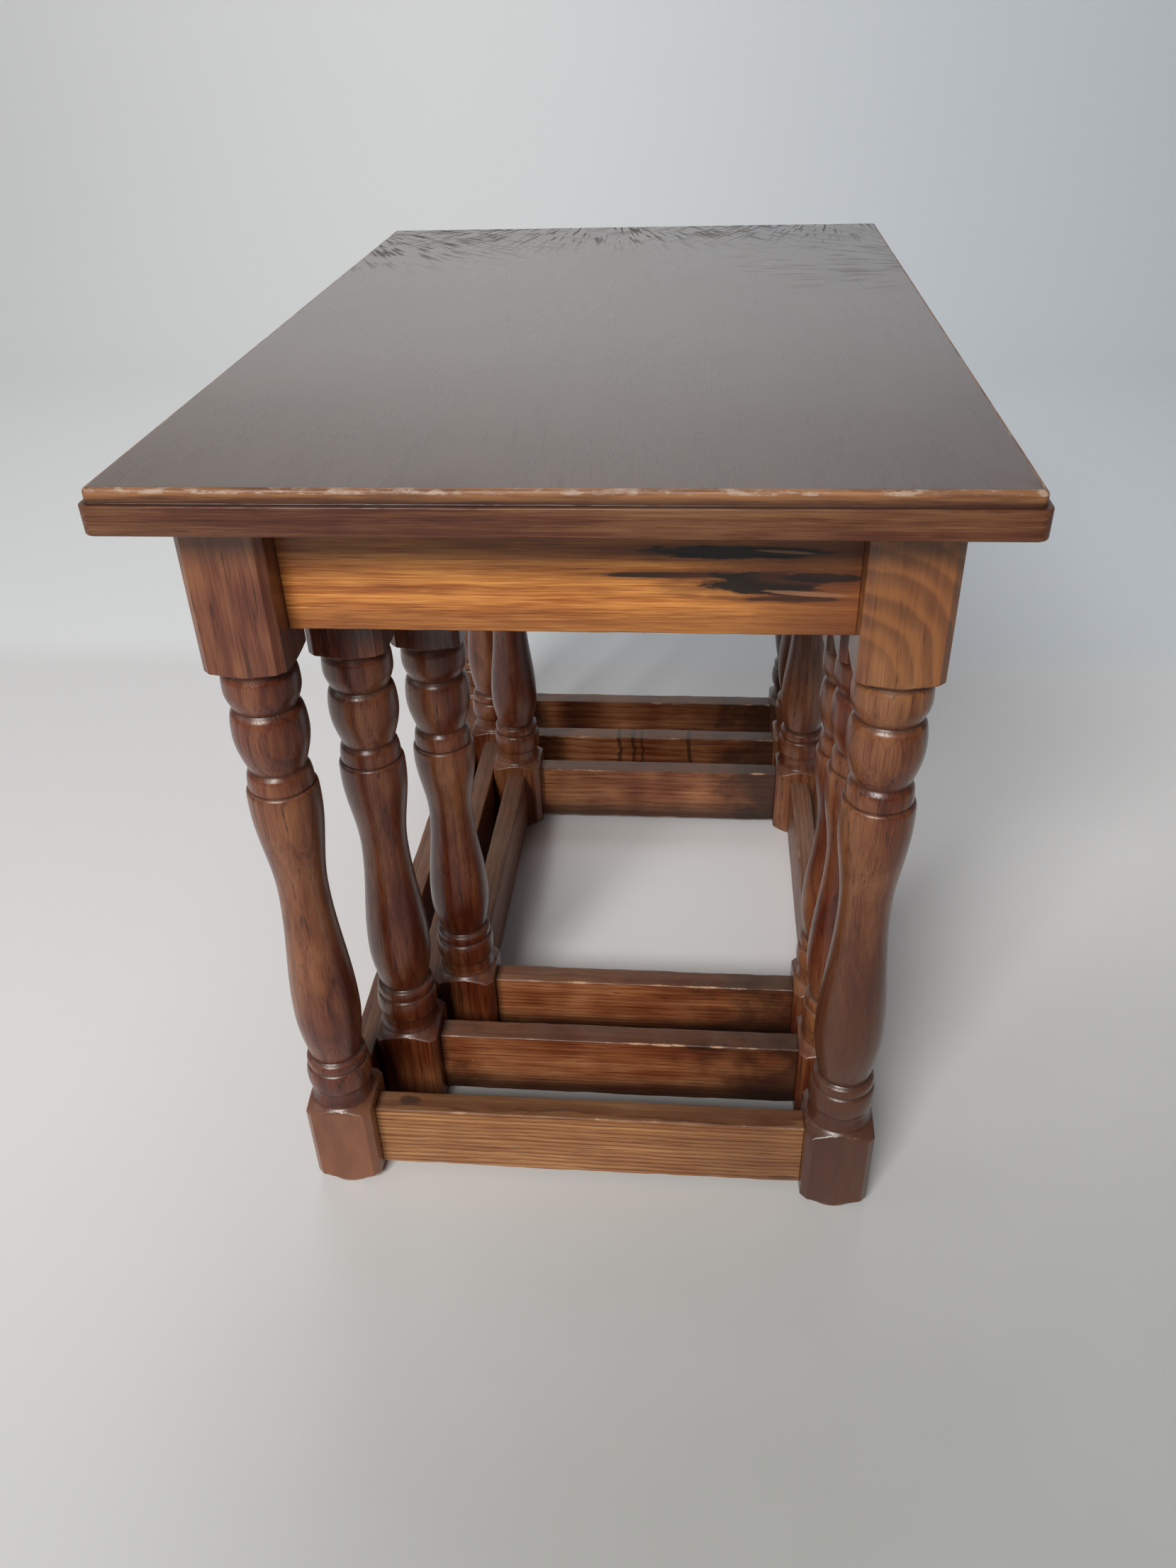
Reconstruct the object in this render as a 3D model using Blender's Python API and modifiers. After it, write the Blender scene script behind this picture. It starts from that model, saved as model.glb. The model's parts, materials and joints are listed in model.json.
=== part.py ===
"""A nest of three wooden tables on turned legs: metres, +Z up, +X along the length, -Y the open front.

Run with blender --background --python part.py. The middle table slides out of the large one towards
-Y, and the small table out of the middle one. Left and right are as seen from the front.
"""

from math import cos, pi, sin

import bmesh
import bpy
from mathutils import Matrix, Vector

# The large table, which the two smaller ones are fitted to
LENGTH = 0.623
DEPTH = 0.404
HEIGHT = 0.480
END_OVERHANG = 0.029  # from a leg's outer face to the end of the top
SIDE_OVERHANG = 0.025  # the same at the front and the back

# Tops: a broad lower band, a small step in, a narrow upper band and an eased arris
TOP_THICKNESS = 0.0205
UPPER_BAND = 0.0069
BAND_STEP = 0.0028
TOP_ARRIS = 0.0022
UNDER_ARRIS = 0.0012
CORNER_RADIUS = 0.005

# Legs: square blocks left at the top and the foot, turned between them
LEG_WIDTH = 0.0415
LEG_CHAMFER = 0.0038
TOP_BLOCK = 0.0825  # down from the leg's top
FOOT_BLOCK = 0.0655
FOOT_EASE = 0.007  # how high the turner's rounding under the foot reaches
FOOT_PAD_RADIUS = 0.0190
TURNED_RADIUS = 0.0198  # the fattest turning
TURNING_SIDES = 16
CUT_RADIUS = 0.032  # outside the block's corners, where the lathe takes nothing off

# Rails and stretchers
APRON_HEIGHT = 0.066
APRON_THICKNESS = 0.020
APRON_SETBACK = 0.018  # from the legs' outer faces
BACK_RAIL_THICKNESS = 0.014
BACK_RAIL_SETBACK = 0.0025
STRETCHER_HEIGHT = 0.0505
STRETCHER_THICKNESS = 0.016
STRETCHER_LIFT = 0.006  # the stretcher's lower edge above the floor
STRETCHER_ARRIS = 0.001

# Joints between rails and legs, and the screws that hold the tops
TENON_THICKNESS = 0.008
TENON_WALL = 0.002  # wood left between two tenons that meet in one leg
GAP = 0.0003  # between pieces that touch
SCREW_RADIUS = 0.00225
SCREW_HEAD_RADIUS = 0.0041
SCREW_HEAD_DEPTH = 0.003
SCREW_BITE = 0.014  # how far a screw goes into the top
SCREW_INSET = 0.045  # from the leg to the screw
COUNTERBORE_RADIUS = 0.0048
COUNTERBORE_DEPTH = 0.030

# How the smaller tables fit in the larger
LEG_SIDE_GAPS = (0.0245, 0.0155)  # leg to leg at each end: middle in large, small in middle
TOP_SIDE_GAP = 0.003  # end of a smaller top to the legs outside it
TOP_GAP = 0.0035  # smaller top below the top above it
TOP_BACK_GAP = 0.0015  # smaller top's back edge to the back rail
HOME_GAP = 0.001  # smaller back legs to the back stretcher when pushed home

OVERCUT = 0.004  # how far a cutter passes the face that it cuts

WOODS = {  # colour, roughness
    "top": ((0.17, 0.125, 0.095), 0.42),
    "leg": ((0.16, 0.062, 0.030), 0.35),
    "apron": ((0.30, 0.120, 0.042), 0.45),
    "stretcher": ((0.36, 0.165, 0.060), 0.50),
}
STEEL = ((0.32, 0.30, 0.28), 0.45)


def clear_scene():
    for obj in list(bpy.data.objects):
        bpy.data.objects.remove(obj)


def collection(name):
    made = bpy.data.collections.new(name)
    bpy.context.scene.collection.children.link(made)
    return made


def material(name, colour, roughness, metallic=0.0):
    made = bpy.data.materials.new(name)
    made.use_nodes = True
    shader = made.node_tree.nodes["Principled BSDF"]
    shader.inputs["Base Color"].default_value = (*colour, 1.0)
    shader.inputs["Roughness"].default_value = roughness
    shader.inputs["Metallic"].default_value = metallic
    return made


def wood(name, kind):
    return material(name, *WOODS[kind])


def mesh_object(name, bm, where, parent=None, skin=None):
    """Turns a bmesh into an object at the world origin, in a collection."""
    bmesh.ops.recalc_face_normals(bm, faces=bm.faces)
    mesh = bpy.data.meshes.new(name)
    bm.to_mesh(mesh)
    bm.free()
    obj = bpy.data.objects.new(name, mesh)
    where.objects.link(obj)
    obj.parent = parent
    if skin:
        mesh.materials.append(skin)
    return obj


def hide_cutter(obj):
    obj.hide_render = True
    obj.display_type = "WIRE"
    return obj


def box_bmesh(low, high):
    """A box between two opposite corners."""
    low, high = Vector(low), Vector(high)
    bm = bmesh.new()
    bmesh.ops.create_cube(bm, size=1.0)
    bmesh.ops.scale(bm, vec=high - low, verts=bm.verts)
    bmesh.ops.translate(bm, vec=(low + high) / 2, verts=bm.verts)
    return bm


def face_towards(bm, direction):
    """The face that lies furthest in a direction."""
    facing = [f for f in bm.faces if f.normal.dot(direction) > 0.99]
    return max(facing, key=lambda f: f.calc_center_median().dot(direction))


def boolean(obj, other, operation):
    cut = obj.modifiers.new(other.name, "BOOLEAN")
    cut.object = other
    cut.operation = operation
    cut.solver = "EXACT"


def wave(start, end, steps, ease=lambda u: (1 - cos(pi * u)) / 2):
    """Points from start to end, both (z, radius): z runs evenly and the radius follows ease."""
    (z0, r0), (z1, r1) = start, end
    shares = [i / steps for i in range(1, steps + 1)]
    return [(z0 + (z1 - z0) * u, r0 + (r1 - r0) * ease(u)) for u in shares]


def swell(start, end, steps):
    """A quarter-round from start, leaving it steeply and reaching end level."""
    return wave(start, end, steps, lambda u: sin(pi * u / 2))


def roll_in(start, end, steps):
    """A quarter-round from start, leaving it level and reaching end steeply."""
    return wave(start, end, steps, lambda u: 1 - cos(pi * u / 2))


def turned_outline(height):
    """The lathe's outline of a leg, from the foot up, as (z, radius) in metres.

    The members under the vase are measured from the floor, and those over it from the leg's top.
    The vase between them takes up what length is left.
    """
    fat = TURNED_RADIUS
    foot = FOOT_BLOCK
    ring_top = foot + 0.038  # the groove where the vase starts
    top = height - TOP_BLOCK  # where the square block starts again
    vase_top = top - 0.0755
    vase = vase_top - ring_top
    bulb, waist, neck = (ring_top + share * vase for share in (0.18, 0.645, 0.945))

    points = [(0.0, FOOT_PAD_RADIUS), (FOOT_EASE, CUT_RADIUS), (foot - 0.006, CUT_RADIUS)]
    points += [(foot, 0.0205), (foot + 0.005, 0.0177), (foot + 0.0125, 0.0176)]  # sunk shoulder
    points += swell((foot + 0.0125, 0.0183), (foot + 0.0210, fat), 2)  # fat bead
    points += roll_in((foot + 0.0210, fat), (foot + 0.0295, 0.0182), 2)
    points += roll_in((foot + 0.0300, 0.0180), (ring_top, 0.0155), 2)  # ring
    points += swell((ring_top, 0.0155), (bulb, fat), 3)
    points += wave((bulb, fat), (waist, 0.0142), 4)
    points += wave((waist, 0.0142), (neck, 0.0194), 3)
    points += roll_in((neck, 0.0194), (vase_top, 0.0183), 1)
    points += [(vase_top + 0.0005, 0.0173)]  # fillet
    points += roll_in((vase_top + 0.0005, 0.0173), (top - 0.0630, 0.0151), 2)  # half bead
    points += swell((top - 0.0630, 0.0151), (top - 0.0410, fat), 3)  # ball
    points += roll_in((top - 0.0410, fat), (top - 0.0262, 0.0168), 2)
    points += swell((top - 0.0255, 0.0168), (top - 0.0145, fat), 2)  # upper bead
    points += roll_in((top - 0.0145, fat), (top - 0.0055, 0.0185), 2)
    points += [(top - 0.0035, 0.0185), (top - 0.0015, 0.0205), (top, CUT_RADIUS)]
    return points + [(height + OVERCUT, CUT_RADIUS)]


def lathe_cutter(name, height, where):
    """The turned solid of one leg, at the world origin, from a profile with a Screw modifier."""
    outline = [(0.0, height + OVERCUT)] + [(r, z) for z, r in reversed(turned_outline(height))]
    outline.append((0.0, 0.0))
    mesh = bpy.data.meshes.new(name)
    edges = [(i, i + 1) for i in range(len(outline) - 1)]
    mesh.from_pydata([(r, 0.0, z) for r, z in outline], edges, [])
    obj = bpy.data.objects.new(name, mesh)
    where.objects.link(obj)
    screw = obj.modifiers.new("turn", "SCREW")
    screw.steps = screw.render_steps = TURNING_SIDES
    screw.use_merge_vertices = True
    screw.merge_threshold = 0.00001
    screw.use_smooth_shade = False
    return hide_cutter(obj)


def make_leg(name, x, y, height, skin, made, parent):
    """Square stock with chamfered long edges, standing on the floor with its axis at (x, y)."""
    half = LEG_WIDTH / 2
    bm = box_bmesh((x - half, y - half, -OVERCUT), (x + half, y + half, height))
    upright = [e for e in bm.edges if abs((e.verts[0].co - e.verts[1].co).z) > height]
    bmesh.ops.bevel(
        bm, geom=upright, offset=LEG_CHAMFER, segments=1, profile=0.5, affect="EDGES"
    )
    return mesh_object(name, bm, made, parent, skin)


def make_rail(name, low, high, along, tenon, arris, skin, made, parent):
    """A board from low to high with a tenon on each end along axis 0 (X) or 1 (Y).

    tenon is its length. The shoulder is the same all round, and leaves the tenon's thickness.
    """
    bm = box_bmesh(low, high)
    bmesh.ops.recalc_face_normals(bm, faces=bm.faces)
    shoulder = (high[1 - along] - low[1 - along] - TENON_THICKNESS) / 2
    for sign in (-1, 1):
        direction = Vector([sign * (axis == along) for axis in range(3)])
        end = face_towards(bm, direction)
        bmesh.ops.inset_individual(bm, faces=[end], thickness=shoulder, use_even_offset=True)
        grown = bmesh.ops.extrude_discrete_faces(bm, faces=[end])["faces"]
        bmesh.ops.translate(bm, vec=direction * tenon, verts=grown[0].verts)
    if arris:
        size = Vector(high) - Vector(low)
        long_edges = [e for e in bm.edges if e.calc_length() > 0.9 * size[along]]
        bmesh.ops.bevel(bm, geom=long_edges, offset=arris, segments=1, affect="EDGES")
    return mesh_object(name, bm, made, parent, skin)


def mortise_cutter(name, low, high, along, tenon, sign, cutters):
    """The tenon's box on one end of a rail, a gap larger all round and open to the rail."""
    shoulder = (high[1 - along] - low[1 - along] - TENON_THICKNESS) / 2
    lo = [v + shoulder - GAP for v in low]
    hi = [v - shoulder + GAP for v in high]
    face = high[along] if sign > 0 else low[along]
    ends = sorted((face - sign * OVERCUT, face + sign * (tenon + GAP)))
    lo[along], hi[along] = ends
    return hide_cutter(mesh_object(name, box_bmesh(lo, hi), cutters))


def make_top(name, low, high, skin, made, parent):
    """A board with a stepped edge: low and high are the corners of its whole box."""
    band = high[2] - UPPER_BAND
    bm = box_bmesh((low[0], low[1], low[2] + UNDER_ARRIS), (high[0], high[1], band))
    upright = [e for e in bm.edges if abs((e.verts[0].co - e.verts[1].co).z) > 0.001]
    bmesh.ops.bevel(
        bm, geom=upright, offset=CORNER_RADIUS, segments=2, profile=0.5, affect="EDGES"
    )
    bmesh.ops.recalc_face_normals(bm, faces=bm.faces)
    up = Vector((0, 0, 1))
    under = face_towards(bm, -up)
    bmesh.ops.inset_individual(
        bm, faces=[under], thickness=UNDER_ARRIS, depth=UNDER_ARRIS, use_even_offset=True
    )
    face = face_towards(bm, up)
    bmesh.ops.inset_individual(bm, faces=[face], thickness=BAND_STEP, use_even_offset=True)
    face = bmesh.ops.extrude_discrete_faces(bm, faces=[face])["faces"][0]
    bmesh.ops.translate(bm, vec=up * (UPPER_BAND - TOP_ARRIS), verts=face.verts)
    bmesh.ops.inset_individual(
        bm, faces=[face], thickness=TOP_ARRIS, depth=TOP_ARRIS, use_even_offset=True
    )
    return mesh_object(name, bm, made, parent, skin)


def cylinder_bmesh(x, y, z0, z1, radius, sides):
    bm = bmesh.new()
    middle = Matrix.Translation((x, y, (z0 + z1) / 2))
    bmesh.ops.create_cone(
        bm, cap_ends=True, segments=sides, radius1=radius, radius2=radius,
        depth=z1 - z0, matrix=middle,
    )
    return bm


def make_screw(name, x, y, seat, tip, skin, made, parent):
    """A wood screw driven upwards: seat is the head's upper face, and tip the point's height."""
    outline = [
        (0.0, tip), (SCREW_RADIUS * 0.4, tip - 0.001), (SCREW_RADIUS, tip - 0.006),
        (SCREW_RADIUS, seat), (SCREW_HEAD_RADIUS, seat),
        (SCREW_HEAD_RADIUS, seat - SCREW_HEAD_DEPTH / 2),
        (SCREW_HEAD_RADIUS * 0.6, seat - SCREW_HEAD_DEPTH), (0.0, seat - SCREW_HEAD_DEPTH),
    ]
    mesh = bpy.data.meshes.new(name)
    edges = [(i, i + 1) for i in range(len(outline) - 1)]
    mesh.from_pydata([(r, 0.0, z) for r, z in outline], edges, [])
    mesh.materials.append(skin)
    obj = bpy.data.objects.new(name, mesh)
    made.objects.link(obj)
    obj.location = (x, y, 0.0)
    obj.parent = parent
    turn = obj.modifiers.new("turn", "SCREW")
    turn.steps = turn.render_steps = 8
    turn.use_merge_vertices = True
    turn.merge_threshold = 0.00001
    return obj


def screw_top_down(rail, top, name, x, y, steel, made, cutters, parent):
    """Holes in a rail and the top over it, and the screw in them, at (x, y)."""
    rail_low, top_low = rail["low"][2], top["low"][2]
    seat = rail_low + COUNTERBORE_DEPTH
    bore = cylinder_bmesh(x, y, rail_low - OVERCUT, seat + GAP, COUNTERBORE_RADIUS, 12)
    hole = cylinder_bmesh(
        x, y, seat - OVERCUT, top_low + SCREW_BITE + GAP, SCREW_RADIUS + GAP, 8
    )
    for label, bm in (("bore", bore), ("hole", hole)):
        cutter = hide_cutter(mesh_object(f"{name}_{label}", bm, cutters))
        boolean(rail["object"], cutter, "DIFFERENCE")
        if label == "hole":
            boolean(top["object"], cutter, "DIFFERENCE")
    make_screw(name, x, y, seat, top_low + SCREW_BITE, steel, made, parent)


def nest_sizes():
    """The legs' outer box, the top's box and the height of each table, from the large one in."""
    x = LENGTH / 2 - END_OVERHANG
    back = DEPTH / 2 - SIDE_OVERHANG
    front = -back
    tables = [
        {
            "name": "large", "x": x, "front": front, "back": back,
            "top_x": LENGTH / 2, "top_front": -DEPTH / 2, "top_back": DEPTH / 2,
            "height": HEIGHT, "front_rails": False,
        }
    ]
    stretcher_inside = (LEG_WIDTH + STRETCHER_THICKNESS) / 2  # outer leg face to inner face
    for name, side_gap in zip(("middle", "small"), LEG_SIDE_GAPS):
        outer = tables[-1]
        inner_leg = outer["x"] - LEG_WIDTH
        rail_inside = outer["back"] - BACK_RAIL_SETBACK - BACK_RAIL_THICKNESS
        tables.append({
            "name": name,
            "x": inner_leg - side_gap,
            "front": outer["front"],
            "back": outer["back"] - stretcher_inside - HOME_GAP,
            "top_x": inner_leg - TOP_SIDE_GAP,
            "top_front": outer["top_front"],
            "top_back": rail_inside - TOP_BACK_GAP,
            "height": outer["height"] - TOP_THICKNESS - TOP_GAP,
            "front_rails": name == "small",
        })
    return tables


def rail_specs(table, under):
    """Each rail and stretcher of a table: name, kind, low, high and the axis that it runs along."""
    x, front, back = table["x"], table["front"], table["back"]
    inner_x = x - LEG_WIDTH - GAP
    inner_front, inner_back = front + LEG_WIDTH + GAP, back - LEG_WIDTH - GAP
    rail_z = (under - APRON_HEIGHT, under - GAP)
    low_z = (STRETCHER_LIFT, STRETCHER_LIFT + STRETCHER_HEIGHT)
    setback = (LEG_WIDTH - STRETCHER_THICKNESS) / 2
    specs = []
    for side, sign in (("left", -1), ("right", 1)):
        for part, thickness, inset, zs in (
            ("apron", APRON_THICKNESS, APRON_SETBACK, rail_z),
            ("stretcher", STRETCHER_THICKNESS, setback, low_z),
        ):
            xs = sorted((sign * (x - inset), sign * (x - inset - thickness)))
            low, high = (xs[0], inner_front, zs[0]), (xs[1], inner_back, zs[1])
            specs.append((f"{part}_{side}", part, low, high, 1))
    across = [("back", 1, back)] + ([("front", -1, front)] if table["front_rails"] else [])
    for side, sign, face in across:
        for part, thickness, inset, zs in (
            ("rail", BACK_RAIL_THICKNESS, BACK_RAIL_SETBACK, rail_z),
            ("stretcher", STRETCHER_THICKNESS, setback, low_z),
        ):
            ys = sorted((face - sign * inset, face - sign * (inset + thickness)))
            low, high = (-inner_x, ys[0], zs[0]), (inner_x, ys[1], zs[1])
            specs.append((f"{part}_{side}", part, low, high, 0))
    return specs


def build_table(table, made, cutters, steel):
    """One table: its top, legs, rails, stretchers and screws, all under one empty."""
    name = table["name"]
    empty = bpy.data.objects.new(f"{name}_table", None)
    made.objects.link(empty)
    under = table["height"] - TOP_THICKNESS
    leg_height = under - GAP

    low = (-table["top_x"], table["top_front"], under)
    high = (table["top_x"], table["top_back"], table["height"])
    top = {"low": low, "high": high}
    top_skin = wood(f"{name}_top_wood", "top")
    top["object"] = make_top(f"{name}_top", low, high, top_skin, made, empty)

    lathe = lathe_cutter(f"{name}_lathe", leg_height, cutters)
    leg_skin = wood(f"{name}_leg_wood", "leg")
    legs = {}
    for y_name, y in (
        ("front", table["front"] + LEG_WIDTH / 2), ("back", table["back"] - LEG_WIDTH / 2)
    ):
        for x_name, sign in (("left", -1), ("right", 1)):
            x = sign * (table["x"] - LEG_WIDTH / 2)
            leg = make_leg(
                f"{name}_leg_{y_name}_{x_name}", x, y, leg_height, leg_skin, made, empty
            )
            turned = lathe.copy()
            cutters.objects.link(turned)
            turned.location = (x, y, 0.0)
            boolean(leg, turned, "INTERSECT")
            legs[y_name, x_name] = leg
    bpy.data.objects.remove(lathe)

    tenon = (LEG_WIDTH - TENON_THICKNESS) / 2 - TENON_WALL
    skins = {kind: wood(f"{name}_{kind}_wood", kind) for kind in ("apron", "stretcher")}
    skins["rail"] = skins["apron"]
    for piece, kind, low, high, along in rail_specs(table, under):
        arris = STRETCHER_ARRIS if kind == "stretcher" else 0.0
        node = f"{name}_{piece}"
        rail = {"low": low, "high": high}
        rail["object"] = make_rail(
            node, low, high, along, tenon, arris, skins[kind], made, empty
        )
        for sign in (-1, 1):
            cutter = mortise_cutter(
                f"{node}_mortise_{sign}", low, high, along, tenon, sign, cutters
            )
            if along:
                corner = ("front" if sign < 0 else "back", piece.split("_")[1])
            else:
                corner = (piece.split("_")[1], "left" if sign < 0 else "right")
            boolean(legs[corner], cutter, "DIFFERENCE")
        if kind == "stretcher" or piece == "rail_front":
            continue
        for number, sign in enumerate((-1, 1), start=1):
            end = (high if sign > 0 else low)[along] - sign * SCREW_INSET
            middle = (low[1 - along] + high[1 - along]) / 2
            x, y = (middle, end) if along else (end, middle)
            screw_top_down(
                rail, top, f"{name}_{piece}_screw_{number}", x, y, steel, made, cutters, empty
            )


def main():
    clear_scene()
    made = collection("nesting_tables")
    cutters = collection("cutters")
    steel = material("screw_steel", *STEEL, metallic=1.0)
    for table in nest_sizes():
        build_table(table, made, cutters, steel)


main()
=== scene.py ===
"""A nest of three side tables in stained and varnished wood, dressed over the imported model.

Metres throughout, +X along the length, -Y the open front, +Z up. Each piece is a numpy surface
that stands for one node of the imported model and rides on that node's table.
"""

import json
from math import pi, radians

import bpy
import numpy as np
from mathutils import Matrix, Vector


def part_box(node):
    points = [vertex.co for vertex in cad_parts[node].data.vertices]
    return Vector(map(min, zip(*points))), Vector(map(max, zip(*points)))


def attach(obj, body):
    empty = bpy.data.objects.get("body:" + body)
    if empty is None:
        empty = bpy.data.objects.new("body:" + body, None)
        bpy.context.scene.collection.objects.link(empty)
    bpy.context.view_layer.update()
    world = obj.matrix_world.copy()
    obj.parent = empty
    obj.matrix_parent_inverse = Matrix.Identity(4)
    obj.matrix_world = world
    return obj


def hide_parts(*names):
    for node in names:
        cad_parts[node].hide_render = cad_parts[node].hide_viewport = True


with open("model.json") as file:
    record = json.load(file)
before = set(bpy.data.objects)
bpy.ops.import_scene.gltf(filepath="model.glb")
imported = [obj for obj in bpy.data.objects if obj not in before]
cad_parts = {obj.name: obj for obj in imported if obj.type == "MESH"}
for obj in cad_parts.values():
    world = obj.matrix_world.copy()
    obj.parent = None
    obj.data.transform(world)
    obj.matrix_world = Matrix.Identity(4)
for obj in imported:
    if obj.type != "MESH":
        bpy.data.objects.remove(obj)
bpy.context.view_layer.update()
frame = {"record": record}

BODIES = frame["record"]["behaviour"]["bodies"]
NODES = [node for nodes in BODIES.values() for node in nodes]
BODY_OF = {node: body for body, nodes in BODIES.items() for node in nodes}


# ---------------------------------------------------------------- surfaces

def surface(name, grid, marks=None, bands=None, sharp=35):
    """Rings of points carried one above another and closed round.

    grid[i, j] is point j of ring i, turning anticlockwise seen from the side that the rings run
    to, so every face looks outwards. The first and the last ring are each closed with one face.
    marks are numbers held at the points, and bands the material of each quad.
    """
    rings, around = grid.shape[:2]
    start = np.arange(rings - 1)[:, None] * around
    j = np.arange(around)[None, :]
    k = (j + 1) % around
    quads = np.stack([start + j, start + k, start + around + k, start + around + j], axis=-1)
    last = (rings - 1) * around
    faces = quads.reshape(-1, 4).tolist()
    faces += [list(range(around))[::-1], list(range(last, last + around))]
    mesh = bpy.data.meshes.new(name)
    mesh.from_pydata(grid.reshape(-1, 3).tolist(), [], faces)
    mesh.polygons.foreach_set("use_smooth", np.ones(len(faces), bool))
    mesh.set_sharp_from_angle(angle=radians(sharp))
    for label, values in (marks or {}).items():
        held = mesh.attributes.new(label, "FLOAT", "POINT")
        held.data.foreach_set("value", np.ascontiguousarray(values, np.float32).reshape(-1))
    if bands is not None:
        ends = [int(bands[0, 0]), int(bands[-1, 0])]
        chosen = np.concatenate([bands.reshape(-1), ends]).astype(np.int32)
        mesh.polygons.foreach_set("material_index", chosen)
    mesh.update()
    piece = bpy.data.objects.new(name, mesh)
    bpy.context.scene.collection.objects.link(piece)
    return piece


def stands_for(piece, node, slot, *finishes):
    """Gives a finished piece its materials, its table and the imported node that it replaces."""
    for finish in finishes:
        piece.data.materials.append(finish)
    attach(piece, BODY_OF[node])
    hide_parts(node)
    return piece


def unevenness(along, seed, waves=7, shortest=0.018):
    """A sum of sines of growing pitch, mostly between -1 and 1: the slow wobble of a worn or
    sanded edge."""
    chance = np.random.default_rng(seed)
    pitch = shortest * 1.6 ** np.arange(waves)[:, None]
    phase = chance.uniform(0, 2 * pi, waves)[:, None]
    return np.sin(2 * pi * along[None, :] / pitch + phase).sum(axis=0) / waves**0.5


# ---------------------------------------------------------------- turned legs

LEG_HALF = 0.02075  # half the width of the square stock
CHAMFER = 0.0038
FATTEST = 0.0198  # radius of the fattest turning
UNCUT = 0.033  # a radius outside the square's corners, where the lathe takes nothing off
FOOT_BLOCK = 0.0655
TOP_BLOCK = 0.0825
FLAT_POWER = 220.0  # of the mean that joins the square's faces: a higher one is sharper
TURNED_POWER = 160.0  # of the mean that joins the turning to the square

SHAPES = {
    "line": lambda u: u,
    "wave": lambda u: (1 - np.cos(pi * u)) / 2,  # leaves level and arrives level
    "swell": lambda u: np.sin(pi * u / 2),  # leaves steeply and arrives level
    "roll": lambda u: 1 - np.cos(pi * u / 2),  # leaves level and arrives steeply
    "round": lambda u: np.sqrt(1 - (1 - u) ** 2),  # a quarter of an ellipse, arriving level
    "turn in": lambda u: 1 - np.sqrt(1 - u**2),  # a quarter of an ellipse, leaving level
}


def turned_members(height):
    """The leg's turning from the floor up: where each member ends, its radius there, its shape
    and the number of steps in it. The long vase takes up the height that the rest leaves."""
    foot = FOOT_BLOCK
    ring = foot + 0.038
    top = height - TOP_BLOCK
    vase_top = top - 0.0755
    bulb, waist, neck = (ring + share * (vase_top - ring) for share in (0.18, 0.645, 0.945))
    return [
        (0.0, 0.0183, "line", 1),
        (0.0012, 0.0208, "round", 4),
        (0.0058, 0.0262, "roll", 6),
        (0.0080, UNCUT, "line", 3),
        (foot - 0.0062, UNCUT, "line", 2),
        (foot - 0.0008, 0.0222, "line", 9),  # the sunk shoulder over the foot
        (foot + 0.0030, 0.0185, "swell", 6),
        (foot + 0.0060, 0.0176, "swell", 3),
        (foot + 0.0120, 0.0174, "line", 3),  # a short straight neck
        (foot + 0.0126, 0.0183, "line", 1),
        (foot + 0.0210, FATTEST + 0.0001, "round", 10),  # the fat bead
        (foot + 0.0292, 0.0180, "turn in", 10),
        (foot + 0.0297, 0.0172, "line", 1),
        (foot + 0.0302, 0.0180, "line", 1),
        (foot + 0.0335, 0.0184, "round", 5),  # the ring
        (ring - 0.0008, 0.0162, "turn in", 6),
        (ring, 0.0155, "line", 1),
        (bulb, FATTEST, "swell", 16),
        (waist, 0.0142, "wave", 34),
        (neck, 0.0194, "wave", 26),
        (vase_top - 0.0012, 0.0190, "turn in", 8),
        (vase_top, 0.0183, "line", 2),
        (vase_top + 0.0006, 0.0171, "line", 1),  # a fillet, then the half bead
        (vase_top + 0.0022, 0.0176, "round", 3),
        (top - 0.0642, 0.0156, "turn in", 9),
        (top - 0.0630, 0.0150, "line", 1),
        (top - 0.0410, FATTEST + 0.0001, "swell", 18),  # the ball
        (top - 0.0272, 0.0172, "turn in", 12),
        (top - 0.0262, 0.0164, "line", 1),
        (top - 0.0252, 0.0168, "line", 1),
        (top - 0.0150, FATTEST, "swell", 12),  # the bead under the block
        (top - 0.0064, 0.0190, "turn in", 10),
        (top - 0.0040, 0.0181, "line", 2),
        (top - 0.0028, 0.0187, "line", 1),
        (top - 0.0008, 0.0212, "line", 3),
        (top + 0.0022, UNCUT, "line", 9),
        (height - 0.0012, UNCUT, "line", 3),
        (height, UNCUT, "line", 1),
    ]


def turned_profile(height):
    """Heights and radii of the turning, member by member: each runs evenly in height, and its
    radius goes from the last member's to its own by the member's shape."""
    heights, radii = [np.zeros(1)], [np.array([0.0183])]
    for level, radius, shape, steps in turned_members(height)[1:]:
        u = np.arange(1, steps + 1) / steps
        z0, r0 = heights[-1][-1], radii[-1][-1]
        heights.append(z0 + (level - z0) * u)
        radii.append(r0 + (radius - r0) * SHAPES[shape](u))
    return np.concatenate(heights), np.concatenate(radii)


def leg_angles():
    """Directions round a leg, crowded where the chamfer meets the faces of the square."""
    edge = np.degrees(np.arctan2(LEG_HALF - CHAMFER, LEG_HALF))
    octant = np.concatenate([
        np.linspace(0, edge - 4, 8, endpoint=False),
        edge + np.array([-3.2, -1.6, -0.8, -0.3, 0.0, 0.3, 0.8, 1.6, 3.2]),
    ])
    quarter = np.concatenate([octant, [45.0], 90 - octant[:0:-1]])
    return np.radians(np.concatenate([quarter + turn for turn in (0, 90, 180, 270)]))


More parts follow.
